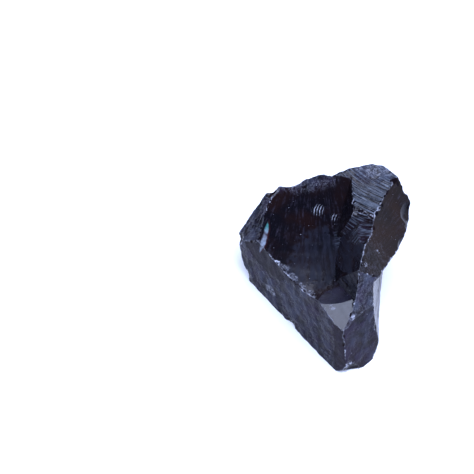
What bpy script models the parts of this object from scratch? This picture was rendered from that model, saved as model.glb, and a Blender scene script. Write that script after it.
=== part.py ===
"""Obsidian chunk: one raw lump of black volcanic glass, broken on every side.

The lump lies on a flat break.  Volcanic glass breaks in two ways, and the chunk is made of both:
flat breaks, which are sliced off a block, and shell-shaped scars, which are scooped out of it with
shallow dishes whose floors carry the faint rings of the break.  A steep ridge and a shelf stand up
out of the main bowl, and a wing leans out over an undercut on the right, so the block is built from
overlapping lumps that are joined before the outer faces are cut.

Metres, +Z up.  The origin is at the centre of the box around the chunk, at the level it rests on.
"""
import math

import bmesh
import bpy
from mathutils import Matrix, Vector

MM = 0.001

# Side of the raw cube, before anything is broken off it, and the level of its middle.
BLOCK_SIDE = 48.0 * MM
BLOCK_MIDDLE = 9.0 * MM

# Each face: a point on it in millimetres, the compass direction that it faces (degrees, 0 is +X and
# 90 is +Y), and how far it leans over from facing straight up (90 is a wall, above 90 an undercut).
BOWL_SIDE = {
    "left_shoulder": ((-13.1, 8.3, 11.0), 172, 54),
}
SHELF_SIDE = {
    "shelf_side": ((5.2, 11.3, 17.3), 178, 60),
}
SHELF_STEP = {
    "shelf_step": ((6.7, 3.55, 17.3), -127, 60),
}
UNDERCUT_RIGHT = {
    "undercut_right": ((10.1, -11.2, 4.2), 0, 109),
}
WING_UNDERSIDE = {
    "wing_under_front": ((13.4, 0.0, 13.1), -37, 126),
    "wing_under_side": ((14.9, 3.7, 13.1), -22, 119),
}
OUTER_BREAKS = {
    "resting_break": ((0.0, 0.0, 0.0), 0, 180),
    "long_wall": ((-4.2, -9.6, 6.3), -142.5, 84),
    "long_wall_end": ((-13.4, 2.8, 5.6), -150, 87),
    "undercut_left": ((-15.6, 6.8, 4.0), 165, 118),
    "toe_undercut": ((4.0, -18.7, 1.7), -80, 125),
    "front_lower": ((6.1, -12.1, 11.0), -48, 70),
    "front_upper": ((6.1, -12.1, 11.0), -45, 66.5),
    "shelf_top": ((9.2, 13.1, 17.8), 166, 8),
    "wing_end": ((16.1, 8.7, 13.8), 3, 107),
    "wing_back": ((14.0, 13.3, 16.5), 36, 84.5),
    "back": ((-1.0, 16.3, 12.0), 100, 83),
    "back_peak": ((10.4, 17.1, 17.8), 60, 80),
    "back_left": ((-13.0, 11.3, 8.0), 140, 85),
    "back_foot": ((0.0, 16.6, 2.4), 96, 118),
}

# Each scar: as above, then the radius of its hollow and how far its dish reaches, in millimetres.
BOWL_SCARS = {
    "bowl": ((-2.4, 2.9, 11.3), -139, 13.3, 40, 27),
    "corner_scoop": ((0.8, -13.2, 11.5), -128, 22, 20, 13),
    "left_scoop": ((-10.3, 7.3, 11.6), -138, 22, 24, 14),
}
RIDGE_SCARS = {
    "ridge_inner": ((4.3, -4.25, 14.5), 162, 50, 20, 17),
    "ridge_tail": ((4.4, -11.3, 13.5), -170, 72, 20, 15),
}
RIGHT_SCARS = {
    "right_cheek": ((8.0, -10.2, 11.0), -7, 82, 60, 30),
}
OUTER_SCARS = {
    "smooth_flank": ((10.5, 1.3, 15.75), -22, 45, 75, 30),
    "back_scoop": ((-3.5, 15.2, 6.0), 100, 88, 14, 11),
    "heel_scoop": ((12.0, 11.7, 4.5), 25, 104, 12, 9),
    "left_under_scoop": ((-12.6, 8.7, 3.0), 158, 112, 9, 7),
}

# Each chip along an edge: its deepest point, the direction it opens to, its lean and its radius.
EDGE_CHIPS = {
    "wing_notch": ((14.7, 8.9, 14.2), -5, 60, 2.0),
    "wing_tip_nick": ((14.9, 6.4, 13.0), -20, 80, 1.6),
    "toe_chip": ((3.9, -17.7, 1.6), -80, 95, 2.2),
    "corner_pit": ((2.3, -15.6, 10.1), -75, 50, 1.1),
    "rim_nick_low": ((-5.1, -7.0, 10.2), -130, 45, 1.4),
    "rim_nick_mid": ((-8.7, -2.3, 9.7), -140, 45, 1.6),
    "rim_nick_high": ((-11.2, 1.2, 9.9), -145, 40, 1.3),
    "ridge_nick": ((6.0, -6.1, 17.2), 160, 30, 1.4),
    "ridge_heel_chip": ((4.5, -13.0, 11.6), -90, 55, 1.5),
    "peak_chip": ((8.6, 16.3, 17.1), 95, 40, 1.8),
    "wing_top_chip": ((12.9, 11.6, 17.5), 30, 45, 1.7),
    "back_rim_chip": ((1.7, 15.5, 16.0), 100, 40, 2.4),
    "back_rim_chip_left": ((-5.6, 14.2, 13.8), 105, 40, 2.6),
    "left_rim_chip": ((-13.6, 10.4, 10.6), 140, 55, 1.9),
    "shelf_lens": ((6.6, 3.4, 16.4), -110, 40, 3.2),
    "wall_foot_chip": ((-7.6, -5.9, 0.6), -140, 105, 1.8),
    "wall_foot_chip_low": ((-2.7, -12.3, 1.2), -142, 95, 1.5),
    "wall_end_chip": ((-14.0, 3.7, 1.7), -155, 105, 1.7),
}

# Rings of a shell-shaped break: ripples on the floor of a dish, small beside its depth.
RIPPLE_LENGTH = 4.0 * MM
RIPPLE_HEIGHT = 0.025 * MM
RING_SPACING = 1.0 * MM
DISH_SIDES = 36
DISH_LID = 20.0 * MM
CHIP_FACETS = 2
WELD = 0.000001
SLIVER = 0.000004

GLASS_BLACK = (0.011, 0.011, 0.015, 1.0)
GLASS_ROUGHNESS = 0.12
GLASS_IOR = 1.49


def clear_scene():
    """Remove whatever the scene holds."""
    for item in list(bpy.data.objects):
        bpy.data.objects.remove(item, do_unlink=True)


def outward(facing, lean):
    """Unit vector out of a face, from its compass direction and its lean, both in degrees."""
    turn = math.radians(facing)
    tip = math.radians(lean)
    return Vector((math.sin(tip) * math.cos(turn), math.sin(tip) * math.sin(turn), math.cos(tip)))


def as_object(name, mesh_data):
    """Put a bmesh into a new object of the scene."""
    mesh = bpy.data.meshes.new(name)
    mesh_data.to_mesh(mesh)
    mesh_data.free()
    item = bpy.data.objects.new(name, mesh)
    bpy.context.scene.collection.objects.link(item)
    return item


def raw_block(name, shrink):
    """A plain cube around the whole chunk, smaller than the full block by shrink."""
    middle = Matrix.Translation((0.0, 0.0, BLOCK_MIDDLE))
    shape = bmesh.new()
    bmesh.ops.create_cube(shape, size=BLOCK_SIDE - shrink, matrix=middle)
    return as_object(name, shape)


def slice_off(body, breaks):
    """Cut away what lies outside each flat break, and close the cut."""
    shape = bmesh.new()
    shape.from_mesh(body.data)
    for point, facing, lean in breaks.values():
        geometry = shape.verts[:] + shape.edges[:] + shape.faces[:]
        cut = bmesh.ops.bisect_plane(
            shape,
            geom=geometry,
            dist=WELD,
            plane_co=Vector(point) * MM,
            plane_no=outward(facing, lean),
            clear_outer=True,
        )
        edges = [part for part in cut["geom_cut"] if isinstance(part, bmesh.types.BMEdge)]
        bmesh.ops.holes_fill(shape, edges=edges)
    bmesh.ops.recalc_face_normals(shape, faces=shape.faces[:])
    shape.to_mesh(body.data)
    shape.free()


def ring_height(distance, radius):
    """Height of a dish's floor at a distance from its middle: an arc with rings on it."""
    ripple = RIPPLE_HEIGHT * math.sin(2 * math.pi * distance / RIPPLE_LENGTH)
    return radius - math.sqrt(radius * radius - distance * distance) + ripple


def standing_on(point, direction):
    """Matrix that stands a cutter's axis on a point, opening in a direction."""
    turn = direction.to_track_quat("Z", "Y").to_matrix().to_4x4()
    return Matrix.Translation(Vector(point) * MM) @ turn


def dish_cutter(name, scar):
    """A closed dish spun about its axis: a rippled arc below and a flat lid above."""
    point, facing, lean, radius_mm, reach_mm = scar
    radius = radius_mm * MM
    reach = reach_mm * MM
    rings = round(reach / RING_SPACING)
    steps = [reach * ring / rings for ring in range(rings + 1)]
    outline = [(step, ring_height(step, radius)) for step in steps]
    outline += [(reach, DISH_LID), (0.0, DISH_LID)]
    shape = bmesh.new()
    corners = [shape.verts.new((across, 0.0, up)) for across, up in outline]
    edges = [shape.edges.new(pair) for pair in zip(corners, corners[1:])]
    bmesh.ops.spin(
        shape,
        geom=corners + edges,
        axis=(0.0, 0.0, 1.0),
        cent=(0.0, 0.0, 0.0),
        angle=2 * math.pi,
        steps=DISH_SIDES,
    )
    bmesh.ops.remove_doubles(shape, verts=shape.verts[:], dist=WELD)
    bmesh.ops.recalc_face_normals(shape, faces=shape.faces[:])
    bmesh.ops.transform(shape, matrix=standing_on(point, outward(facing, lean)), verts=shape.verts[:])
    return as_object(name, shape)


def chip_cutter(name, chip):
    """A faceted ball whose lowest point is the bottom of the chip."""
    point, facing, lean, radius_mm = chip
    radius = radius_mm * MM
    lift = Matrix.Translation((0.0, 0.0, radius))
    place = standing_on(point, outward(facing, lean)) @ lift
    shape = bmesh.new()
    bmesh.ops.create_icosphere(shape, subdivisions=CHIP_FACETS, radius=radius, matrix=place)
    return as_object(name, shape)


def combine(body, tool, operation):
    """Join, cut or keep the overlap of two solids, and put the tool away."""
    step = body.modifiers.new(tool.name, "BOOLEAN")
    step.operation = operation
    step.solver = "EXACT"
    step.object = tool
    result = bpy.data.meshes.new_from_object(body.evaluated_get(bpy.context.evaluated_depsgraph_get()))
    body.modifiers.remove(step)
    body.data = result
    bpy.data.objects.remove(tool, do_unlink=True)


def scoop_out(body, scars):
    """Cut each shell-shaped scar out of a solid."""
    for name, scar in scars.items():
        combine(body, dish_cutter(name, scar), "DIFFERENCE")


def bowl_lump():
    """The low slab of the chunk, with the main bowl and the scoops at its two ends."""
    body = raw_block("bowl_lump", 0.0)
    slice_off(body, BOWL_SIDE)
    scoop_out(body, BOWL_SCARS)
    return body


def ridge_lump():
    """The steep ridge on the right of the bowl, joined to the shelf behind it."""
    body = raw_block("ridge_lump", 2 * MM)
    scoop_out(body, RIDGE_SCARS)
    shelf = raw_block("shelf_lump", 4 * MM)
    slice_off(shelf, SHELF_STEP)
    combine(body, shelf, "UNION")
    slice_off(body, SHELF_SIDE)
    return body


def right_limits():
    """What bounds the chunk on the right: an undercut wall, and the wing that leans out past it."""
    body = raw_block("wall_lump", 6 * MM)
    slice_off(body, UNDERCUT_RIGHT)
    scoop_out(body, RIGHT_SCARS)
    wing = raw_block("wing_lump", 8 * MM)
    slice_off(wing, WING_UNDERSIDE)
    combine(body, wing, "UNION")
    return body


def tidy_mesh(body):
    """Weld and triangulate, and drop slivers left by the cuts."""
    shape = bmesh.new()
    shape.from_mesh(body.data)
    bmesh.ops.remove_doubles(shape, verts=shape.verts[:], dist=SLIVER)
    bmesh.ops.dissolve_degenerate(shape, edges=shape.edges[:], dist=SLIVER)
    bmesh.ops.triangulate(shape, faces=shape.faces[:])
    bmesh.ops.recalc_face_normals(shape, faces=shape.faces[:])
    shape.to_mesh(body.data)
    shape.free()


def obsidian():
    """Black volcanic glass with a polished break."""
    material = bpy.data.materials.new("obsidian")
    material.use_nodes = True
    shader = material.node_tree.nodes["Principled BSDF"]
    shader.inputs["Base Color"].default_value = GLASS_BLACK
    shader.inputs["Roughness"].default_value = GLASS_ROUGHNESS
    shader.inputs["Metallic"].default_value = 0.0
    shader.inputs["IOR"].default_value = GLASS_IOR
    return material


def obsidian_chunk():
    """The whole chunk as one closed solid."""
    body = bowl_lump()
    combine(body, ridge_lump(), "UNION")
    combine(body, right_limits(), "INTERSECT")
    slice_off(body, OUTER_BREAKS)
    scoop_out(body, OUTER_SCARS)
    for name, chip in EDGE_CHIPS.items():
        combine(body, chip_cutter(name, chip), "DIFFERENCE")
    tidy_mesh(body)
    body.name = "obsidian_chunk"
    body.data.name = "obsidian_chunk"
    body.data.materials.clear()
    body.data.materials.append(obsidian())
    return body


clear_scene()
obsidian_chunk()
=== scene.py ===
"""Obsidian chunk: a dressed scene of one raw lump of black volcanic glass on a pale floor.

The chunk is one surface worked out with numpy.  Rays fan out from a point inside the lump, and each
one stops at the break that it meets; the surface is those stopping points.
"""

import math

import bpy
import numpy as np
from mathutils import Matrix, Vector


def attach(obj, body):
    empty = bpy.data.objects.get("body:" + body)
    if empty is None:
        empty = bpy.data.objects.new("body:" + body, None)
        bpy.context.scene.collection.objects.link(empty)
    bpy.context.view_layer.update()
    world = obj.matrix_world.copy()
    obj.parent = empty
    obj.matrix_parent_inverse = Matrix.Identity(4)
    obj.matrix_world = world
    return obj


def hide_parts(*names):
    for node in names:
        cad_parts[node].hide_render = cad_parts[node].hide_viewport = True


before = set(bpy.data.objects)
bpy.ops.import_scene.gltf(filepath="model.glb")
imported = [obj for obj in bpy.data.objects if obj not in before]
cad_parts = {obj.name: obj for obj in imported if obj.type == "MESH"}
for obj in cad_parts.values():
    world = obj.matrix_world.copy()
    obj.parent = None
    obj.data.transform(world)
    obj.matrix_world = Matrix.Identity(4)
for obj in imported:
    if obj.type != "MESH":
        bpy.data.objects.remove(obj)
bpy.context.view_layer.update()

# ---- The lump and the breaks that bound it.
# One raw lump of volcanic glass, broken on every side.  A flat break is a plane, and a shell-shaped
# scar is the hollow of a ball, as the glass parts when it is struck.

MM = 0.001
# The rays start here, in millimetres.  A ray that misses a break gets a length past the whole lump.
HEART = np.array((3.0, 1.3, 6.0))
NEVER = 1000.0
# Relief is worked out only this near the heart.  A ray that grazes a break climbs towards it by less
# than GRAZING, and its relief is spread over no less than LEAST_CLIMB.
NEAR = 40.0
GRAZING = 0.02
LEAST_CLIMB = 0.25

# Each flat break: a point on it in millimetres, the compass direction that it faces and its lean.
FLAT_BREAKS = {
    "left_shoulder": ((-11.4, 7.3, 11.9), 180, 44.5),
    "shelf_side": ((5.2, 11.3, 17.3), 178, 60),
    "shelf_step": ((6.7, 3.55, 17.3), -127, 60),
    "undercut_right": ((10.1, -11.2, 4.2), 0, 109),
    "wing_under_front": ((13.4, 0.0, 13.1), -37, 126),
    "wing_under_side": ((14.9, 3.7, 13.1), -22, 119),
    "resting_break": ((0.0, 0.0, 0.0), 0, 180),
    "long_wall": ((-4.85, -10.09, 0.0), -142.5, 85.3),
    "wall_bevel_lower": ((-2.87, -11.1, 11.69), -132.2, 80),
    "long_wall_end": ((-14.6, 3.55, 0.0), -143.2, 82.5),
    "undercut_left": ((-15.25, 6.8, 4.0), 165, 118),
    "toe_undercut": ((4.0, -18.7, 1.7), -80, 125),
    "front_lower": ((6.1, -12.1, 11.0), -48, 70),
    "front_upper": ((3.76, -14.48, 10.44), -48.1, 65.5),
    "shelf_top": ((9.2, 13.1, 17.7), 166, 8),
    "wing_end": ((16.03, 8.7, 13.8), 3, 107),
    "wing_back": ((14.0, 13.3, 16.5), 36, 84.5),
    "back": ((-1.0, 16.3, 12.0), 100, 83),
    "back_peak": ((10.4, 17.1, 17.8), 60, 80),
    "back_left": ((-13.6, 11.8, 8.0), 140, 85),
    "back_foot": ((0.0, 16.6, 2.4), 96, 118),
}

# Each shell-shaped scar: as above, then the radius of its hollow in millimetres.
SHELL_SCARS = {
    "bowl": ((-2.4, 2.9, 11.3), -139, 13.3, 40),
    "corner_step": ((0.2, -10.0, 11.75), 152, 10.6, 13),
    "corner_scoop": ((1.0, -13.0, 11.40), -114, 33.5, 60),
    "ridge_inner": ((4.1, -3.1, 14.8), 169, 50.5, 40),
    "ridge_tail": ((3.1, -8.6, 13.4), -158, 67, 40),
    "right_cheek": ((8.0, -10.2, 11.0), -7, 82, 60),
    "smooth_flank": ((10.32, 1.37, 15.54), -22, 42.5, 75),
    "back_scoop": ((-3.5, 15.2, 6.0), 100, 88, 14),
    "heel_scoop": ((12.0, 11.7, 4.5), 25, 104, 12),
    "left_under_scoop": ((-12.6, 8.7, 3.0), 158, 112, 9),
    "shelf_lens": ((5.94, 4.48, 16.97), -128, 35, 7),
    "wall_bevel_upper": ((-8.1, -2.4, 10.4), -146, 78, 100),
    "wall_scoop": ((-10.95, -0.1, 4.9), -142, 83, 14),
    "flank_scallop_upper": ((14.35, 7.4, 14.35), -14, 56, 5),
    "flank_scallop_lower": ((13.55, 1.6, 12.65), -20, 60, 5),
}

# Each chip along an edge: its deepest point, the direction it opens to, its lean and its radius.
EDGE_CHIPS = {
    "wing_notch": ((15.3, 11.4, 15.8), 0, 60, 1.2),
    "wing_tip_nick": ((14.9, 6.4, 13.0), -20, 80, 0.9),
    "left_tip_nick": ((-15.3, 8.0, 6.8), 178, 85, 1.0),
    "toe_chip": ((3.9, -17.7, 1.6), -80, 95, 1.3),
    "corner_pit": ((2.1, -16.3, 9.6), -75, 50, 0.7),
    "rim_nick_low": ((-4.9, -7.3, 10.7), -130, 45, 0.5),
    "rim_nick_mid": ((-8.6, -1.6, 10.2), -140, 45, 0.6),
    "rim_nick_high": ((-10.9, 1.4, 10.4), -145, 40, 0.5),
    "ridge_heel_chip": ((4.2, -13.5, 11.4), -90, 55, 0.6),
    "wing_top_chip": ((12.9, 11.6, 17.5), 30, 45, 1.2),
    "back_rim_chip": ((1.7, 15.5, 16.0), 100, 40, 2.4),
    "back_rim_chip_left": ((-5.6, 14.2, 13.8), 105, 40, 2.6),
    "back_corner_chip": ((-9.6, 14.2, 12.4), 120, 45, 1.6),
    "left_rim_chip": ((-13.6, 10.4, 10.6), 140, 55, 0.9),
    "wall_foot_chip": ((-7.6, -5.9, 0.6), -140, 105, 1.3),
    "wall_foot_chip_low": ((-3.1, -12.5, 0.9), -142, 95, 1.0),
    "wall_end_chip": ((-14.0, 3.7, 1.7), -155, 105, 1.2),
}

# Marks that each break left on itself, in millimetres: the point where it was struck, the length and
# height of its rings, the height of the fine streaks that run away from that point, and the height
# of its roughness.
BREAK_MARKS = {
    "bowl": ((-1.0, 34.0, 16.0), 3.1, 0.018, 0.008, 0.016),
    "shelf_top": ((26.0, 29.0, 18.0), 0.76, 0.036, 0.010, 0.050),
    "smooth_flank": ((4.0, -9.0, 17.0), 5.2, 0.018, 0.003, 0.008),
    "ridge_inner": ((4.3, 23.9, 4.1), 1.6, 0.012, 0.055, 0.020),
    "ridge_tail": ((4.3, 23.9, 4.1), 1.6, 0.010, 0.080, 0.080),
    "shelf_side": ((5.2, 39.0, 15.6), 2.0, 0.012, 0.040, 0.030),
    "long_wall": ((-12.0, 3.0, 10.0), 2.2, 0.030, 0.008, 0.110),
    "wall_bevel_upper": ((-12.0, 3.0, 12.0), 1.8, 0.015, 0.010, 0.060),
    "wall_bevel_lower": ((-12.0, 3.0, 12.0), 1.8, 0.015, 0.010, 0.060),
    "resting_break": ((0.0, 0.0, 0.0), 1.0, 0.0, 0.0, 0.0),
    "corner_step": ((4.0, -12.0, 11.5), 1.5, 0.010, 0.010, 0.015),
    "long_wall_end": ((-10.5, -3.0, 9.0), 1.8, 0.030, 0.010, 0.090),
    "wall_scoop": ((-9.0, -3.0, 9.0), 1.2, 0.030, 0.020, 0.040),
    "front_lower": ((3.0, -17.5, 7.0), 3.6, 0.020, 0.006, 0.015),
    "front_upper": ((8.0, -8.0, 14.0), 3.6, 0.020, 0.006, 0.012),
    "corner_scoop": ((4.0, -12.0, 11.5), 1.5, 0.006, 0.002, 0.010),
    "left_shoulder": ((-10.0, 14.0, 14.0), 1.2, 0.030, 0.040, 0.090),
}
# The marks of every other break, less its struck point, which lies this far up its slope.
PLAIN_MARKS = (2.4, 0.030, 0.015, 0.040)
STRUCK_UP_SLOPE = 9.0
ROUGHNESS_LENGTH = 1.3
# Rings wander by this many radians over grain of this pitch, and come and go over the other pitch.
RING_WANDER, WANDER_PITCH, FADING_PITCH = 2.2, 0.23, 0.31
# Grains of streak to the radian, and to the millimetre along the streak.
STREAKS_ACROSS, STREAKS_ALONG = 26, 0.16


def outward(facing, lean):
    """Unit vector out of a break: its lean tips it over from straight up, towards its compass
    direction."""
    turn, tip = math.radians(facing), math.radians(lean)
    return np.array((math.sin(tip) * math.cos(turn), math.sin(tip) * math.sin(turn), math.cos(tip)))


LATTICE = np.random.default_rng(11).uniform(-1, 1, (32, 32, 32))


def grain(place):
    """Smooth random heights within ±1: a random number at each whole-number place, blended between
    the eight round a point with the smooth step 3f² - 2f³ of its fraction f."""
    cell = np.floor(place).astype(int)
    part = place - cell
    part = part * part * (3 - 2 * part)
    total = 0.0
    for corner in np.ndindex(2, 2, 2):
        share = np.prod(np.where(corner, part, 1 - part), axis=-1)
        spot = (cell + corner) & 31
        total = total + share * LATTICE[spot[..., 0], spot[..., 1], spot[..., 2]]
    return total


def struck_point(name, point, normal):
    """Where a break was struck: as listed, or some way up its slope from its own point."""
    if name in BREAK_MARKS:
        return np.array(BREAK_MARKS[name][0])
    up = np.array((0.3, 0.5, 1.0))
    up -= normal * (up @ normal)
    return np.array(point) + STRUCK_UP_SLOPE * up / np.linalg.norm(up)


def bearing_about(away, normal):
    """Bearing of each offset from the struck point, turning about the break's own normal."""
    side = np.cross(normal, (0.2, 1.0, 0.1))
    side /= np.linalg.norm(side)
    return np.arctan2(away @ side, away @ np.cross(normal, side))


def relief(name, place, point, normal):
    """Height of a break's marks above its smooth form.  Rings go with the sine of the distance from
    the struck point, streaks with grain along the bearing about it, and roughness with grain.  The
    length of the break's name shifts the grain of its streaks, so that breaks differ."""
    length, height, streaks, roughness = BREAK_MARKS[name][1:] if name in BREAK_MARKS else PLAIN_MARKS
    away = place - struck_point(name, point, normal)
    distance = np.linalg.norm(away, axis=-1)
    phase = 2 * math.pi * distance / length + RING_WANDER * grain(place * WANDER_PITCH)
    rings = height * np.sin(phase + 0.5 * np.sin(phase)) * (0.7 + 0.5 * grain(place * FADING_PITCH + 7))
    bearing = bearing_about(away, normal)
    fan = np.stack((bearing * STREAKS_ACROSS, distance * STREAKS_ALONG, 0 * distance + len(name)), axis=-1)
    rough = grain(place / ROUGHNESS_LENGTH) + 0.4 * grain(place * 2.1 / ROUGHNESS_LENGTH + 5)
    return rings + streaks * grain(fan) + roughness * rough


def to_flat(name, rays):
    """Length of each ray to a flat break: the gap to the plane over the ray's climb towards it, plus
    the relief there over that climb."""
    point, facing, lean = FLAT_BREAKS[name]
    normal = outward(facing, lean)
    climb = rays @ normal
    meets = climb > GRAZING
    length = np.where(meets, ((np.array(point) - HEART) @ normal) / np.where(meets, climb, 1), NEVER)
    near = length < NEAR
    place = HEART + rays[near] * length[near, None]
    length[near] += relief(name, place, point, normal) / np.maximum(climb[near], LEAST_CLIMB)
    return length


def to_ball(centre, radius, rays):
    """Length of each ray to a ball ahead of it: b - √(b² - c), with b the ray's run to the point
    abreast of the middle and c the squared tangent."""
    run = rays @ (centre - HEART)
    under = run * run - (centre - HEART) @ (centre - HEART) + radius * radius
    meets = (under > 0) & (run > 0)
    return np.where(meets, run - np.sqrt(np.where(meets, under, 0)), NEVER)


def to_scar(name, rays):
    """Length of each ray to a shell-shaped scar: to the ball that hollowed it, plus the relief over
    the ray's climb."""
    point, facing, lean, radius = SHELL_SCARS[name]
    normal = outward(facing, lean)
    centre = np.array(point) + normal * radius
    length = to_ball(centre, radius, rays)
    near = length < NEAR
    place = HEART + rays[near] * length[near, None]
    climb = np.sum(rays[near] * (centre - place), axis=-1) / radius
    length[near] += relief(name, place, point, normal) / np.maximum(climb, LEAST_CLIMB)
    return length


NAMES = [*FLAT_BREAKS, *SHELL_SCARS]
# Each chip's flakes: how many, how far they tilt, how wide and deep they are and how far they stray,
# the last three in radii of the chip.
FLAKES_PER_CHIP = 4
FLAKE_TILT = 0.38
FLAKE_WIDTHS = (0.9, 1.6)
FLAKE_BOTTOMS = (0.35, 0.60)
FLAKE_STRAY = 0.25


def flakes_of_chips():
    """Each listed chip came off as a few shallow flakes: balls wider than the chip, each tilted and
    moved a little at random about the chip's own opening."""
    chance = np.random.default_rng(3)
    flakes = []
    for point, facing, lean, radius in EDGE_CHIPS.values():
        opening = outward(facing, lean)
        for _ in range(FLAKES_PER_CHIP):
            aim = opening + FLAKE_TILT * chance.normal(size=3)
            aim /= np.linalg.norm(aim)
            wide = radius * chance.uniform(*FLAKE_WIDTHS)
            offset = opening * chance.uniform(*FLAKE_BOTTOMS) + FLAKE_STRAY * chance.normal(size=3)
            flakes.append((np.array(point) + radius * offset + aim * wide, wide))
    return flakes


NAMED_FLAKES = flakes_of_chips()
# The breaks of the low slab round the bowl, and the breaks that cut the whole lump from outside.
LOW_BREAKS = ("bowl", "corner_step", "corner_scoop", "left_shoulder")
OUTER_BREAKS = (
    "resting_break", "long_wall", "long_wall_end", "undercut_left", "toe_undercut", "front_lower",
    "front_upper", "shelf_top", "wing_end", "wing_back", "back", "back_peak", "back_left",
    "back_foot", "smooth_flank", "back_scoop", "heel_scoop", "left_under_scoop", "shelf_lens",
    "wall_bevel_upper", "wall_bevel_lower", "wall_scoop", "flank_scallop_upper", "flank_scallop_lower",
)


def nearest(first, *others):
    """Of several lengths and their breaks, the shortest for each ray: what cuts first."""
    length, label = first[0], np.broadcast_to(first[1], first[0].shape)
    for other, its_label in others:
        closer = other < length
        length, label = np.where(closer, other, length), np.where(closer, its_label, label)
    return length, label


def farthest(one, other):
    """Of two lengths and their breaks, the longer for each ray: two lumps joined into one."""
    longer = one[0] >= other[0]
    return np.where(longer, one[0], other[0]), np.where(longer, one[1], other[1])


def chunk_reach(rays, small_chips=()):
    """How far the lump reaches along each ray, and which break stops it.  The low slab joins the
    steep ridge, which joins the shelf; the right side is the wall joined with the wing; the outer
    breaks and the chips then cut all of it."""

    def to(name):
        length = to_flat(name, rays) if name in FLAT_BREAKS else to_scar(name, rays)
        return length, NAMES.index(name)

    low = nearest(*[to(name) for name in LOW_BREAKS])
    ridge = nearest(to("ridge_inner"), to("ridge_tail"))
    high = nearest(to("shelf_side"), farthest(ridge, to("shelf_step")))
    wall = nearest(to("right_cheek"), to("undercut_right"))
    wing = nearest(to("wing_under_front"), to("wing_under_side"))
    body = nearest(farthest(low, high), farthest(wall, wing), *[to(name) for name in OUTER_BREAKS])
    return nick(*body, rays, [*NAMED_FLAKES, *small_chips])


def nick(length, label, rays, balls):
    """Shorten the rays that meet a chip's ball before they reach the surface."""
    length, label = length.copy(), label.copy()
    for number, (centre, radius) in enumerate(balls):
        run = rays @ (centre - HEART)
        abreast = (centre - HEART) @ (centre - HEART) - radius * radius
        hit = np.flatnonzero((run > 0) & (run * run > abreast))
        cut = run[hit] - np.sqrt(run[hit] ** 2 - abreast)
        shorter = cut < length[hit]
        length[hit[shorter]] = cut[shorter]
        label[hit[shorter]] = len(NAMES) + number
    return length, label


def cube_cells(cells):
    """A cube's surface as a grid: each side has cells × cells squares.  Gives the whole-number place
    of every grid corner, and the four corners of every square."""
    row, column = np.meshgrid(np.arange(cells), np.arange(cells), indexing="ij")
    squares = []
    for axis in range(3):
        for end in (0, cells):
            corner = []
            for down, along in ((0, 0), (1, 0), (1, 1), (0, 1)):
                place = np.zeros((cells, cells, 3), int)
                place[..., axis] = end
                place[..., (axis + 1) % 3] = row + down
                place[..., (axis + 2) % 3] = column + along
                corner.append(place.reshape(-1, 3))
            squares.append(np.stack(corner, axis=1))
    squares = np.concatenate(squares)
    key = squares @ np.array(((cells + 1) ** 2, cells + 1, 1))
    _, first, index = np.unique(key, return_index=True, return_inverse=True)
    return squares.reshape(-1, 3)[first], index.reshape(key.shape)


def unit(vectors):
    """Each vector over its own length."""
    return vectors / np.linalg.norm(vectors, axis=-1, keepdims=True)


# Rays are spread finer over the top of the lump than over its flat resting break.
FINER_TOWARDS = np.array((-0.08, -0.10, 0.28))


def ray_of(place, cells):
    """Unit ray through a place on the cube: the tangent of its even angles, leaned towards the top."""
    side = np.tan((place / cells - 0.5) * math.pi / 2)
    return unit(unit(side) + FINER_TOWARDS)


# Times that the gap between two grid corners is halved to find the ridge between them.
HALVINGS = 7


def broken_surface(cells, small_chips=()):
    """The lump's surface as a grid whose lines run along the ridges.

    Each grid corner takes the break that stops its ray.  Where two neighbours differ, halving finds
    the place between them where the break changes.  Each square then has one point, at the mean of
    the changes on its sides, or at its middle where there are none; and round each grid corner the
    points of its squares make one face, which lies on a single break.
    """
    places, corners = cube_cells(cells)
    rays = ray_of(places, cells)
    stops = chunk_reach(rays, small_chips)[1]
    sides = np.sort(np.stack((corners, np.roll(corners, -1, axis=1)), axis=-1), axis=-1)
    edges, index = np.unique(sides.reshape(-1, 2), axis=0, return_inverse=True)
    index = index.reshape(corners.shape)
    changes = np.flatnonzero(stops[edges[:, 0]] != stops[edges[:, 1]])
    start, end = rays[edges[changes, 0]], rays[edges[changes, 1]]
    first = stops[edges[changes, 0]]
    near, far = np.zeros(len(changes)), np.ones(len(changes))
    for _ in range(HALVINGS):
        middle = (near + far) / 2
        same = chunk_reach(unit(start + (end - start) * middle[:, None]), small_chips)[1] == first
        near, far = np.where(same, middle, near), np.where(same, far, middle)
    crossing = np.zeros((len(edges), 3))
    crossing[changes] = unit(start + (end - start) * ((near + far) / 2)[:, None])
    crossed = np.zeros(len(edges))
    crossed[changes] = 1
    count = crossed[index].sum(axis=1)
    total = crossing[index].sum(axis=1)
    middle = unit(rays[corners].sum(axis=1))
    toward = np.where(count[:, None] > 0, total / np.maximum(count, 1)[:, None], middle)
    toward = unit(toward)
    reach = chunk_reach(toward, small_chips)[0]
    points = HEART + toward * reach[:, None]
    # Round each grid corner, its squares in order of bearing about its ray.
    owner = corners.ravel()
    square = np.repeat(np.arange(len(corners)), 4)
    ray = rays[owner]
    across = unit(np.cross(ray, np.where(np.abs(ray[:, 2:]) < 0.7, (0, 0, 1.0), (1.0, 0, 0))))
    offset = middle[square] - ray
    bearing = np.arctan2(np.sum(offset * np.cross(ray, across), axis=1), np.sum(offset * across, axis=1))
    order = np.lexsort((bearing, owner))
    counts = np.bincount(owner)
    # The two squares on either side of each grid line.
    rank = np.argsort(index.ravel(), kind="stable")
    beside = np.repeat(np.arange(len(corners)), 4)[rank].reshape(-1, 2)
    return {
        "points": points, "corners": square[order], "counts": counts, "stops": stops,
        "edges": edges, "beside": beside, "changes": changes, "crossing": crossing[changes],
        "rays": rays,
    }


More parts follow.
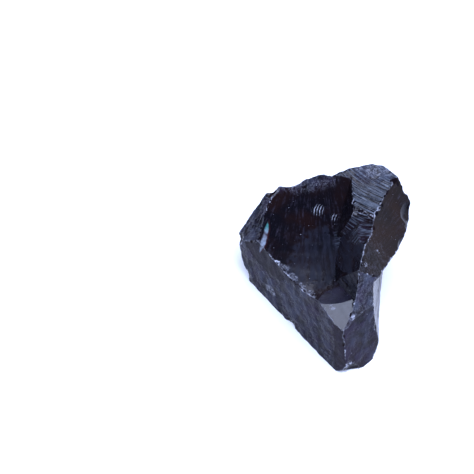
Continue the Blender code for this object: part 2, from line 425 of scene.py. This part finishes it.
# Small chips along the ridges, as handling and falling knock off a sharp edge of glass: how many are
# tried, their radii and depths in millimetres, how far their openings stray, and the depth below
# which a chip is left out.
CHIP_COUNT = 900
CHIP_RADII = (0.30, 1.2)
CHIP_DEPTHS = (0.04, 0.17)
CHIP_STRAY = 0.25
SHALLOWEST_CHIP = 0.02
# A chip needs a ridge that stands this far out, in millimetres, that turns so far that the cosine is
# under CHIPPED_TURN, and that lies this high above the floor.
RIDGE_STANDS_OUT = 0.002
CHIPPED_TURN = 0.80
CHIPPED_HEIGHT = 0.3
# A chip opens towards the rays by at least this cosine.  Its rim stands to them by no more than
# RIM_STEEPNESS, in radians, and reaches no further than RIM_SPREAD from its own opening.
LEAST_OPENING = 0.2
STEEPEST_OPENING = 1.35
RIM_STEEPNESS = 1.40
RIM_SPREAD = 0.6
# The small mirror-bright scar at the front corner is left whole.
MIRROR_MIDDLE = np.array((0.6, -12.0, 11.8))
MIRROR_REACH = 4.8
# A coarser grid is enough to find the ridges.
RIDGE_GRID = 90


def break_normal(label, place):
    """Unit vectors out of the breaks at some places: a plane's own, or towards the ball's middle."""
    out = np.zeros_like(place)
    for number, name in enumerate(NAMES):
        here = label == number
        if name in FLAT_BREAKS:
            out[here] = outward(*FLAT_BREAKS[name][1:])
        else:
            point, facing, lean, radius = SHELL_SCARS[name]
            out[here] = unit(np.array(point) + outward(facing, lean) * radius - place[here])
    for number, (centre, radius) in enumerate(NAMED_FLAKES):
        here = label == len(NAMES) + number
        out[here] = unit(centre - place[here])
    return out


def chips_along_ridges():
    """Balls that nick the ridges.  Each stands over a random place on a ridge, towards one of its two
    breaks, so that it cuts a shallow hollow no steeper than the rays can follow."""
    chance = np.random.default_rng(5)
    rough = broken_surface(RIDGE_GRID)
    ends = rough["edges"][rough["changes"]]
    labels = rough["stops"][ends]
    reach = chunk_reach(rough["crossing"])[0]
    place = HEART + rough["crossing"] * reach[:, None]
    one, other = break_normal(labels[:, 0], place), break_normal(labels[:, 1], place)
    lean = unit(one + other)
    rays = rough["rays"][ends]
    tips = HEART + rays * chunk_reach(rays.reshape(-1, 3))[0].reshape(-1, 2, 1)
    ridge = np.sum((tips.mean(axis=1) - place) * lean, axis=1) < -RIDGE_STANDS_OUT
    sharp = np.sum(one * other, axis=1) < CHIPPED_TURN
    clear = np.linalg.norm(place - MIRROR_MIDDLE, axis=1) > MIRROR_REACH
    good = np.flatnonzero(ridge & sharp & clear & (place[:, 2] > CHIPPED_HEIGHT))
    pick = chance.choice(good, CHIP_COUNT, replace=False)
    size = chance.uniform(0, 1, CHIP_COUNT) ** 3.0
    radius = CHIP_RADII[0] + size * (CHIP_RADII[1] - CHIP_RADII[0])
    depth = CHIP_DEPTHS[0] + size * (CHIP_DEPTHS[1] - CHIP_DEPTHS[0]) * chance.uniform(0.4, 1, CHIP_COUNT)
    share = chance.uniform(0.15, 0.85, CHIP_COUNT)[:, None]
    stray = CHIP_STRAY * chance.normal(size=(CHIP_COUNT, 3))
    aim = unit(one[pick] * share + other[pick] * (1 - share) + stray)
    opening = np.sum(aim * rough["crossing"][pick], axis=1)
    steep = np.clip(np.arccos(np.clip(opening, -1, 1)), 0, STEEPEST_OPENING)
    rim = np.clip(RIM_STEEPNESS - steep, 0, RIM_SPREAD)
    depth = np.minimum(depth, radius * (1 - np.cos(rim)))
    centres = place[pick] + aim * (radius - depth)[:, None]
    keep = (depth > SHALLOWEST_CHIP) & (opening > LEAST_OPENING)
    return list(zip(centres[keep], radius[keep]))


# Grid squares along each side of the cube that the rays are spread over.
GRID = 128
small_chips = chips_along_ridges()
surface = broken_surface(GRID, small_chips)


def mesh_from(name, surface):
    """A mesh with the surface's points, one face round each grid corner, and sharp edges wherever
    the break changes."""
    mesh = bpy.data.meshes.new(name)
    corners, counts = surface["corners"], surface["counts"]
    mesh.vertices.add(len(surface["points"]))
    mesh.vertices.foreach_set("co", (surface["points"] * MM).ravel())
    mesh.loops.add(len(corners))
    mesh.loops.foreach_set("vertex_index", corners)
    mesh.polygons.add(len(counts))
    mesh.polygons.foreach_set("loop_start", np.cumsum(counts) - counts)
    mesh.update(calc_edges=True)
    mesh.validate()
    ends = np.zeros(2 * len(mesh.edges), int)
    mesh.edges.foreach_get("vertices", ends)
    key = np.sort(ends.reshape(-1, 2), axis=1) @ (len(surface["points"]), 1)
    sharp_key = np.sort(surface["beside"][surface["changes"]], axis=1) @ (len(surface["points"]), 1)
    mesh.shade_smooth()
    sharp = mesh.attributes.new("sharp_edge", "BOOLEAN", "EDGE")
    sharp.data.foreach_set("value", np.isin(key, sharp_key))
    return mesh


chunk_mesh = mesh_from("obsidian_surface", surface)
chunk = bpy.data.objects.new("obsidian_surface", chunk_mesh)
bpy.context.scene.collection.objects.link(chunk)

# Ridges that are rounded over or sheltered, and so aren't crushed.
UNWORN_RIDGES = (
    ("shelf_side", "shelf_top"), ("bowl", "corner_scoop"), ("shelf_side", "shelf_step"),
    ("shelf_lens", "shelf_step"), ("shelf_lens", "shelf_top"), ("long_wall", "wall_scoop"),
    ("long_wall_end", "wall_scoop"), ("bowl", "corner_step"), ("corner_scoop", "corner_step"),
    ("ridge_inner", "ridge_tail"), ("long_wall", "front_lower"), ("wall_bevel_lower", "front_lower"),
    ("shelf_lens", "ridge_inner"), ("bowl", "ridge_tail"), ("shelf_side", "ridge_tail"),
    ("smooth_flank", "flank_scallop_upper"), ("smooth_flank", "flank_scallop_lower"),
)
# Ridges too blunt to count as sharp that still carry a pale line.
LINED_RIDGES = (("front_lower", "front_upper"),)
# Cosines of the least turn at which a ridge is worn, between two breaks and at a chip's rim.
WORN_TURN = 0.94
WORN_CHIP_TURN = 0.80


def between_breaks(surface, pair):
    """Which grid lines run between the two breaks of a pair."""
    return np.isin(surface["stops"][surface["edges"]], [NAMES.index(name) for name in pair]).all(axis=1)


def ridge_distance(surface, reach=2.0, sweeps=14):
    """Distance from each point to the nearest sharp ridge along the surface, in millimetres: nought on
    the ridge, then each point takes the least of its neighbours' distances plus the way to them.
    A ridge counts where the breaks on its two sides turn by more than about 20 degrees and drop away
    from it; a chip's rim is fresh and counts only past about 37 degrees."""
    points, beside, edges = surface["points"], surface["beside"], surface["edges"]
    centres = np.add.reduceat(points[surface["corners"]], np.cumsum(surface["counts"]) - surface["counts"])
    centres /= surface["counts"][:, None]
    normals = face_normals(surface)
    one, other = edges.T
    turn = np.sum(normals[one] * normals[other], axis=1)
    drop = np.sum((centres[other] - centres[one]) * normals[one], axis=1)
    changed = np.zeros(len(edges), bool)
    changed[surface["changes"]] = True
    worn = changed.copy()
    for pair in UNWORN_RIDGES:
        worn &= ~between_breaks(surface, pair)
    chipped = (surface["stops"][edges] >= len(NAMES)).any(axis=1)
    sharp = worn & (turn < np.where(chipped, WORN_CHIP_TURN, WORN_TURN)) & (drop < 0)
    for pair in LINED_RIDGES:
        sharp |= between_breaks(surface, pair) & changed
    distance = np.full(len(points), reach)
    distance[beside[sharp].ravel()] = 0.0
    way = np.linalg.norm(points[beside[:, 0]] - points[beside[:, 1]], axis=1)
    for _ in range(sweeps):
        for here, there in ((0, 1), (1, 0)):
            np.minimum.at(distance, beside[:, here], distance[beside[:, there]] + way)
    return distance


def face_normals(surface):
    """Unit normal of each face: the cross product of its two diagonals, or of two sides of a
    three-sided one."""
    counts = surface["counts"]
    first = np.cumsum(counts) - counts
    turns = [surface["corners"][first + np.minimum(k, counts - 1)] for k in range(4)]
    corner = surface["points"][np.array(turns)]
    return unit(np.cross(corner[2] - corner[0], corner[3] - corner[1] + (corner[3] - corner[2]) * 1e-6))


# Frosted zones, where fine streaks scatter the light: the break, the middle and the half widths in
# millimetres, and how dense the frost is.
FROSTED_ZONES = (
    ("bowl", (-1.6, -0.6, 11.5), (4.6, 6.8, 9.0), 1.0),
    ("bowl", (-4.6, -3.4, 10.8), (3.0, 4.6, 9.0), 1.0),
    ("ridge_inner", (3.5, -4.0, 13.5), (4.0, 9.0, 9.0), 1.0),
    ("ridge_tail", (3.5, -4.0, 13.5), (4.0, 9.0, 9.0), 1.0),
    ("corner_step", (0.0, -10.0, 12.0), (4.0, 4.0, 4.0), 1.0),
)

# Rippled zones, as above: close lines run round the struck point, and their pale blue-grey is a painted
# sheen of mirrored light.
RIPPLED_ZONES = (
    ("shelf_top", (9.0, 11.0, 18.0), (8.0, 10.0, 9.0), 1.0),
    ("shelf_lens", (6.3, 4.0, 17.0), (4.0, 5.0, 3.0), 0.85),
    ("shelf_step", (6.0, 4.0, 15.0), (2.6, 2.6, 3.0), 0.6),
    ("ridge_inner", (5.9, 1.2, 15.4), (1.8, 2.4, 2.6), 0.7),
    ("bowl", (3.2, 3.6, 13.4), (2.0, 2.6, 2.4), 0.4),
    ("left_shoulder", (-13.1, 8.3, 9.0), (30.0, 30.0, 30.0), 0.35),
)

# Hackled zones, as above: torn patches of dull blue and purple.
HACKLED_ZONES = (
    ("long_wall", (-6.0, -7.0, 4.0), (30.0, 30.0, 30.0), 0.9),
    ("long_wall_end", (-13.0, 3.0, 4.0), (30.0, 30.0, 30.0), 0.8),
    ("wall_bevel_upper", (-6.0, -7.0, 9.0), (30.0, 30.0, 30.0), 0.20),
    ("wall_bevel_lower", (-6.0, -7.0, 9.0), (30.0, 30.0, 30.0), 0.35),
    ("wall_scoop", (-10.0, -1.0, 5.0), (30.0, 30.0, 30.0), 1.0),
    ("left_shoulder", (-13.1, 8.3, 9.0), (30.0, 30.0, 30.0), 0.7),
    ("shelf_step", (6.0, 4.0, 15.0), (3.0, 3.0, 3.0), 0.15),
    ("shelf_top", (11.5, 15.5, 17.0), (7.0, 3.2, 4.0), 1.0),
    ("shelf_lens", (6.5, 1.2, 16.6), (1.6, 2.6, 2.0), 0.3),
    ("bowl", (-5.0, 15.0, 14.0), (9.0, 1.7, 4.0), 0.6),
    ("corner_step", (0.0, -10.0, 12.0), (4.0, 4.0, 4.0), 0.35),
    ("front_lower", (6.0, -12.0, 8.0), (30.0, 30.0, 30.0), 0.7),
    ("front_upper", (6.0, -12.0, 13.0), (30.0, 30.0, 30.0), 1.0),
)

# Crushed spots, as above, where a knock left white powder.
CRUSHED_ZONES = (
    ("front_upper", (4.1, -13.9, 11.0), (0.5, 0.7, 1.0), 1.0),
    ("corner_scoop", (0.6, -12.2, 11.8), (0.7, 0.5, 0.6), 0.5),
    ("front_upper", (5.5, -12.0, 12.5), (8.0, 8.0, 8.0), 0.10),
    ("smooth_flank", (7.5, -6.0, 14.5), (5.0, 6.0, 6.0), 0.03),
    ("front_lower", (3.5, -18.6, 2.4), (1.3, 1.3, 1.3), 0.9),
    ("long_wall", (2.2, -17.6, 2.0), (1.4, 1.4, 1.4), 0.9),
    ("wall_scoop", (-9.9, -2.1, 3.2), (1.5, 1.6, 0.8), 0.45),
    ("long_wall_end", (-9.9, -2.1, 3.2), (1.5, 1.6, 0.8), 0.45),
    ("long_wall", (-2.4, -12.3, 7.4), (0.9, 0.9, 0.5), 0.7),
    ("bowl", (-11.4, 1.3, 10.5), (0.6, 0.8, 0.8), 1.0),
    ("bowl", (-9.0, -1.0, 10.3), (0.5, 0.6, 0.8), 1.0),
    ("bowl", (-7.9, -2.3, 10.25), (0.9, 1.5, 1.2), 0.25),
    ("bowl", (-6.3, -4.8, 10.3), (0.9, 1.5, 1.2), 0.25),
    ("bowl", (-4.7, -7.2, 10.9), (0.9, 1.5, 1.2), 0.3),
    ("bowl", (-3.3, -9.2, 11.3), (0.9, 1.5, 1.2), 0.3),
    ("shelf_top", (12.0, 15.8, 17.0), (6.0, 2.2, 4.0), 0.3),
    ("bowl", (-4.0, 14.9, 14.0), (9.0, 1.7, 4.0), 0.10),
    ("smooth_flank", (9.0, -2.5, 15.5), (0.35, 0.35, 0.5), 0.9),
    ("smooth_flank", (6.3, -6.6, 16.9), (0.3, 0.5, 0.6), 0.6),
    ("smooth_flank", (9.5, 5.8, 18.1), (0.4, 0.7, 0.5), 0.8),
)

# A zone's fade ends at this share of its half widths, and is this long.  Two sizes of grain make its
# edge ragged: the share that each adds, and its grains to the millimetre.
ZONE_END = 1.05
ZONE_FADE = 0.16
ZONE_GRAIN = ((0.30, 0.9), (0.18, 2.3))


def density_at(zones, place, label):
    """How dense a mark is at each place, from 0 to 1: each zone fades over the edge of its ellipsoid,
    which grain makes ragged."""
    mark = np.zeros(len(place))
    ragged = sum(share * grain(place * pitch) for share, pitch in ZONE_GRAIN)
    for name, middle, widths, density in zones:
        away = np.linalg.norm((place - middle) / np.array(widths), axis=1) + ragged
        fade = np.clip((ZONE_END - away) / ZONE_FADE, 0, 1)
        mark = np.maximum(mark, density * fade * (label == NAMES.index(name)))
    return mark


# A streak's bearing is measured along a circle of this radius about the struck point.  A chip's
# pattern is its own place, moved this far so that it matches no break's.  Both are in millimetres.
STREAK_RADIUS = 20
CHIP_SHIFT = 40


def streak_place(place, label):
    """Place along the streaks of each break: its bearing about the struck point times a radius, its
    distance from that point, and a number for the break."""
    out = np.zeros_like(place)
    for number, name in enumerate(NAMES):
        here = label == number
        point, facing, lean = (FLAT_BREAKS | SHELL_SCARS)[name][:3]
        normal = outward(facing, lean)
        away = place[here] - struck_point(name, point, normal)
        out[here, 0] = bearing_about(away, normal) * STREAK_RADIUS
        out[here, 1] = np.linalg.norm(away, axis=1)
        out[here, 2] = number
    chip = label >= len(NAMES)
    out[chip] = place[chip] + CHIP_SHIFT
    return out


corner_place = surface["points"][surface["corners"]]
corner_label = np.repeat(surface["stops"], surface["counts"])
wear = chunk_mesh.attributes.new("ridge_distance", "FLOAT", "POINT")
wear.data.foreach_set("value", ridge_distance(surface).astype(np.float32))
MARKED_ZONES = {
    "frost": FROSTED_ZONES, "ripples": RIPPLED_ZONES, "hackle": HACKLED_ZONES, "powder": CRUSHED_ZONES,
}
for title, zones in MARKED_ZONES.items():
    density = chunk_mesh.attributes.new(title, "FLOAT", "CORNER")
    density.data.foreach_set("value", density_at(zones, corner_place, corner_label).astype(np.float32))
streaks = chunk_mesh.attributes.new("streaks", "FLOAT_VECTOR", "CORNER")
streaks.data.foreach_set("vector", streak_place(corner_place, corner_label).astype(np.float32).ravel())


class Wire:
    """An output of a shader node.  Sums written with it add Math nodes."""

    def __init__(self, tree, socket=None):
        self.tree = tree
        self.socket = socket

    def node(self, kind, settings, sockets, output=0):
        """Add a node: its settings first, then values or wires for its sockets; gives an output."""
        node = self.tree.nodes.new(kind)
        for name, value in settings.items():
            setattr(node, name, value)
        for name, value in sockets.items():
            if isinstance(value, Wire):
                self.tree.links.new(value.socket, node.inputs[name])
            else:
                node.inputs[name].default_value = value
        return Wire(self.tree, node.outputs[output])

    def maths(self, operation, *values):
        """A Math node on one, two or three values."""
        return self.node("ShaderNodeMath", {"operation": operation}, dict(enumerate(values)))

    def __add__(self, other):
        return self.maths("ADD", self, other)

    __radd__ = __add__

    def __sub__(self, other):
        return self.maths("SUBTRACT", self, other)

    def __rsub__(self, other):
        return self.maths("SUBTRACT", other, self)

    def __mul__(self, other):
        return self.maths("MULTIPLY", self, other)

    __rmul__ = __mul__

    def between(self, low, high):
        """0 below low, 1 above high, and a straight climb between."""
        ends = {"From Min": low, "From Max": high, "Value": self}
        return self.node("ShaderNodeMapRange", {"clamp": True}, ends)

    def mix(self, one, other):
        """From one colour at 0 to the other at 1."""
        return self.node("ShaderNodeMix", {"data_type": "RGBA"}, {0: self, 6: one, 7: other}, 2)


# The glass is black, a little brown in broad clouds, violet where it is scratched, grey in the frosted
# streaks, dull blue and purple where it is torn, and pale where it is crushed. The ripples carry a painted
# sheen of pale blue-grey, and the bowl's left end carries a painted crescent highlight.
GLASS_BLACK = (0.0020, 0.0018, 0.0035, 1.0)
GLASS_BROWN = (0.0060, 0.0025, 0.0030, 1.0)
GLASS_SCRATCHED = (0.016, 0.014, 0.022, 1.0)
FROST_GREY = (0.0075, 0.0085, 0.0150, 1.0)
# Painted sheen: the ripples' pale blue-grey stands in for light that they mirror.
RIPPLE_PAINTED_SHEEN = (0.070, 0.083, 0.108, 1.0)
HACKLE_BLUE = (0.029, 0.034, 0.054, 1.0)
HACKLE_PURPLE = (0.015, 0.010, 0.026, 1.0)
CRUSHED_WHITE = (0.40, 0.42, 0.50, 1.0)

# The glass's mirror is weaker than its index gives, because its faces are finely scratched.
GLASS_IOR = 1.49
MIRROR_LEVEL = 0.10

# Grains of each pattern to the metre.
CLOUD_SCALE = 160.0
BLUE_SCALE = 260.0
PATCH_SCALE = 420.0
GRIT_SCALE = 1400.0
CRUMB_SCALE = 3500.0
# Grains of streak, and how the streaks and ripples are drawn out, across and along.
FINE_STREAK_SCALE = 3.2
BROAD_STREAK_SCALE = 0.9
STREAK_STRETCH = (1.0, 0.10, 1.0)
RIPPLE_STRETCH = (0.16, 3.8, 1.0)

# The roughness of clean glass, and the depth in metres and strength of the marks on it.
CLEAN_ROUGHNESS = 0.13
BUMP_DEPTH = 0.00010
BUMP_STRENGTH = 0.35

# Two small strike marks in the bowl show pale arcs: the middle of each, the hub of its arcs
# and how far they reach.  The arcs fade out over the same way in both.
STRIKE_MARKS = (
    ((-0.0011, 0.0095, 0.0132), (0.0016, 0.0085, 0.0135), 0.0013),
    ((0.0018, 0.0075, 0.0134), (0.0042, 0.0060, 0.0140), 0.0009),
)
STRIKE_FADE = 0.0005
ARCS_PER_METRE = 2 * math.pi / 0.00050

# A painted highlight at the bowl's left end: a bright crescent that lies inside both of two balls, given
# by their middles and radii in metres. Its upper end is painted teal, between two heights, and it has a
# painted dark red fringe.
CRESCENT_BALLS = (((-0.0213, 0.0060, 0.0149), 0.01141), ((0.0170, -0.0037, 0.0113), 0.0300))
CRESCENT_HIGHLIGHT_WHITE = (0.15, 0.18, 0.23, 1.0)
CRESCENT_HIGHLIGHT_TEAL = (0.03, 0.12, 0.12, 1.0)
TEAL_FROM = (0.0055, 0.0068)
CRESCENT_HIGHLIGHT_RED = (0.016, 0.004, 0.006, 1.0)


def obsidian_glass():
    """Black glass: brown in broad clouds, grey in the frosted streaks, and white along worn ridges, with a
    painted sheen on its ripples and a painted crescent highlight in the bowl.
    """
    material = bpy.data.materials.new("obsidian glass")
    material.use_nodes = True
    tree = material.node_tree
    shader = tree.nodes["Principled BSDF"]
    start = Wire(tree)

    def attribute(name, output="Fac"):
        return start.node("ShaderNodeAttribute", {"attribute_name": name}, {}, output)

    def noise(vector, scale, detail, roughness=0.5):
        sockets = {"Vector": vector, "Scale": scale, "Detail": detail, "Roughness": roughness}
        return start.node("ShaderNodeTexNoise", {}, sockets)

    def vectors(operation, one, other, output=0):
        return start.node("ShaderNodeVectorMath", {"operation": operation}, {0: one, 1: other}, output)

    place = start.node("ShaderNodeTexCoord", {}, {}, "Object")
    streak = attribute("streaks", "Vector")
    frost, ripples, hackle = attribute("frost"), attribute("ripples"), attribute("hackle")
    powder, ridge = attribute("powder"), attribute("ridge_distance")
    drawn_out = vectors("MULTIPLY", streak, STREAK_STRETCH)
    fine_streaks = noise(drawn_out, FINE_STREAK_SCALE, 3.0, 0.6)
    broad_streaks = noise(drawn_out, BROAD_STREAK_SCALE, 2.0)
    clouds = noise(place, CLOUD_SCALE, 3.0)
    patches = noise(place, PATCH_SCALE, 4.0, 0.6)
    grit = noise(place, GRIT_SCALE, 3.0, 0.7)
    crumbs = noise(place, CRUMB_SCALE, 1.0)

    # The glass itself, its frosted streaks, its torn patches, and its ripples with their painted sheen.
    base = clouds.between(0.42, 0.62).mix(GLASS_BLACK, GLASS_BROWN)
    scratched = fine_streaks.between(0.50, 0.72) * grit.between(0.40, 0.60)
    haze = frost * (fine_streaks.between(0.36, 0.70) * 0.6 + broad_streaks.between(0.35, 0.65) * 0.4)
    base = haze.mix(scratched.mix(base, GLASS_SCRATCHED), FROST_GREY)
    torn = hackle * patches.between(0.36, 0.60)
    blue = noise(place, BLUE_SCALE, 2.0).between(0.42, 0.58) * hackle
    base = torn.mix(base, blue.mix(HACKLE_PURPLE, HACKLE_BLUE))
    rings = noise(vectors("MULTIPLY", streak, RIPPLE_STRETCH), 1.0, 2.0).between(0.47, 0.59)
    ripples_and_sheen = ripples * rings * patches.between(0.28, 0.60)
    # The ripples' pale blue-grey mixed in here is a painted sheen; the same mask also gives the ripple
    # lines to the bump below.
    base = ripples_and_sheen.mix(base, RIPPLE_PAINTED_SHEEN)

    # The painted crescent highlight and its painted red fringe.
    left, right = (
        radius - vectors("DISTANCE", place, middle, "Value") + (patches - 0.5) * 0.0006
        for middle, radius in CRESCENT_BALLS
    )
    crescent_highlight = left.between(0.0, 0.0002) * right.between(0.0, 0.0003) * patches.between(0.30, 0.55)
    highlight_fringe = left.between(-0.0003, 0.0) * right.between(0.0, 0.0003)
    along_y = start.node("ShaderNodeSeparateXYZ", {}, {"Vector": place}, 1)
    base = highlight_fringe.mix(base, CRESCENT_HIGHLIGHT_RED)
    base = crescent_highlight.mix(base, along_y.between(*TEAL_FROM).mix(CRESCENT_HIGHLIGHT_WHITE, CRESCENT_HIGHLIGHT_TEAL))

    # White powder: along the worn ridges, in specks, in the crushed spots and in the strike marks.
    worn = noise(place, PATCH_SCALE, 2.0).between(0.44, 0.66)
    crush = (1.0 - ridge.between(0.02, 0.20)) * grit.between(0.44, 0.60) * worn
    edge = (1.0 - ridge.between(0.0, 0.16)) * (0.06 + worn * 0.16)
    specks = crumbs.between(0.775, 0.81)
    dust = grit.between(0.42, 0.58) * crumbs.between(0.36, 0.60)
    white = crush * 0.65 + edge + specks * 0.5 + powder * dust
    for spot, hub, spread in STRIKE_MARKS:
        turns = (vectors("DISTANCE", place, hub, "Value") + patches * 0.0010) * ARCS_PER_METRE
        arcs = start.maths("SINE", turns).between(0.2, 0.9)
        away = vectors("DISTANCE", place, spot, "Value") + grit * 0.0010
        inside = 1.0 - away.between(spread, spread + STRIKE_FADE)
        white = start.maths("MAXIMUM", white, arcs * inside * grit.between(0.35, 0.55) * 0.5)
    base = white.mix(base, CRUSHED_WHITE)

    roughness = CLEAN_ROUGHNESS + 0.22 * haze + 0.35 * white + 0.20 * torn + 0.10 * clouds
    marks = frost * fine_streaks * 0.6 + grit * 0.12 + white * 0.4 + ripples_and_sheen * 0.5 + patches * torn * 6.0
    sockets = {"Strength": BUMP_STRENGTH, "Distance": BUMP_DEPTH, "Height": marks}
    bump = start.node("ShaderNodeBump", {}, sockets, "Normal")
    for name, value in {"Base Color": base, "Roughness": roughness, "Normal": bump}.items():
        tree.links.new(value.socket, shader.inputs[name])
    shader.inputs["IOR"].default_value = GLASS_IOR
    shader.inputs["Specular IOR Level"].default_value = MIRROR_LEVEL
    return material


chunk_mesh.materials.append(obsidian_glass())
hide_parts("obsidian_chunk")
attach(chunk, "root")

# ---- The floor.
# A wide sheet of smooth white paper.  It is one flat square that the lump stands on, large enough
# that its edges are never seen.

FLOOR_SIDE = 4.0
PAPER_WHITE = (0.88, 0.88, 0.91, 1.0)
PAPER_ROUGHNESS = 0.9

floor_mesh = bpy.data.meshes.new("floor")
half = FLOOR_SIDE / 2
floor_mesh.from_pydata(
    [(-half, -half, 0.0), (half, -half, 0.0), (half, half, 0.0), (-half, half, 0.0)], [], [(0, 1, 2, 3)]
)
floor = bpy.data.objects.new("floor", floor_mesh)
bpy.context.scene.collection.objects.link(floor)
paper = bpy.data.materials.new("white paper")
paper.use_nodes = True
sheet = paper.node_tree.nodes["Principled BSDF"]
sheet.inputs["Base Color"].default_value = PAPER_WHITE
sheet.inputs["Roughness"].default_value = PAPER_ROUGHNESS
floor_mesh.materials.append(paper)

# ---- Light.
# A soft cool studio: a pale surround and a large sheet of light overhead, which the glass doesn't
# mirror, a small card that the corner scoop mirrors, and three windows for the bowl, the back of
# the shelf and the flank.

SURROUND = (0.75, 0.82, 1.0, 1.0)
SURROUND_STRENGTH = 0.30
DAYLIGHT = (0.62, 0.71, 1.0)
ROSY_LIGHT = (1.0, 0.93, 1.0)

world = bpy.data.worlds.new("studio")
bpy.context.scene.world = world
world.use_nodes = True
world.node_tree.nodes["Background"].inputs["Color"].default_value = SURROUND
world.node_tree.nodes["Background"].inputs["Strength"].default_value = SURROUND_STRENGTH


def softbox(name, aim, place, width, height, power, colour=DAYLIGHT, glossy=True):
    """A rectangular lamp at a place, facing the point that it is aimed at, both in millimetres; its
    sides are in metres and its power in watts."""
    data = bpy.data.lights.new(name, "AREA")
    data.shape = "RECTANGLE"
    data.size, data.size_y = width, height
    data.energy = power
    data.color = colour
    lamp = bpy.data.objects.new(name, data)
    lamp.location = Vector(place) * MM
    back = Vector(place) - Vector(aim)
    lamp.rotation_euler = back.to_track_quat("Z", "Y").to_euler()
    lamp.visible_glossy = glossy
    lamp.visible_camera = False
    bpy.context.scene.collection.objects.link(lamp)


softbox("overhead", (0, 0, 0), (260.0, -40.0, 560.0), 0.8, 0.8, 12.0, glossy=False)
softbox("left card", (0.4, -11.5, 12.5), (-83.0, -104.0, 211.0), 0.056, 0.056, 0.46)
softbox("bowl window", (-2, 0, 12), (-120.0, 300.0, 450.0), 0.20, 0.18, 0.10)
softbox("back window", (0, 8, 12), (-30.0, 400.0, 380.0), 0.16, 0.07, 0.75)
softbox("side window", (10, 0, 12), (400.0, 90.0, 106.0), 0.30, 0.14, 0.21, ROSY_LIGHT)

# ---- Camera.
# It looks down at the floor from the front with a long lens, at a point beyond the lump's left end,
# so that the lump stands right of the middle and low in the frame.

TARGET = np.array((-16.4, 13.916, 0.0)) * MM
CAMERA_ELEVATION = 50
CAMERA_DISTANCE = 223.83 * MM
LENS = 85
SENSOR_WIDTH = 36
NEAREST_SEEN = 0.01

camera_data = bpy.data.cameras.new("camera")
camera_data.lens = LENS
camera_data.sensor_width = SENSOR_WIDTH
camera_data.clip_start = NEAREST_SEEN
camera = bpy.data.objects.new("camera", camera_data)
tilt = math.radians(CAMERA_ELEVATION)
camera.location = TARGET + CAMERA_DISTANCE * np.array((0.0, -math.cos(tilt), math.sin(tilt)))
camera.rotation_euler = (math.pi / 2 - tilt, 0.0, 0.0)
bpy.context.scene.collection.objects.link(camera)
bpy.context.scene.camera = camera
bpy.context.scene.view_settings.view_transform = "Standard"
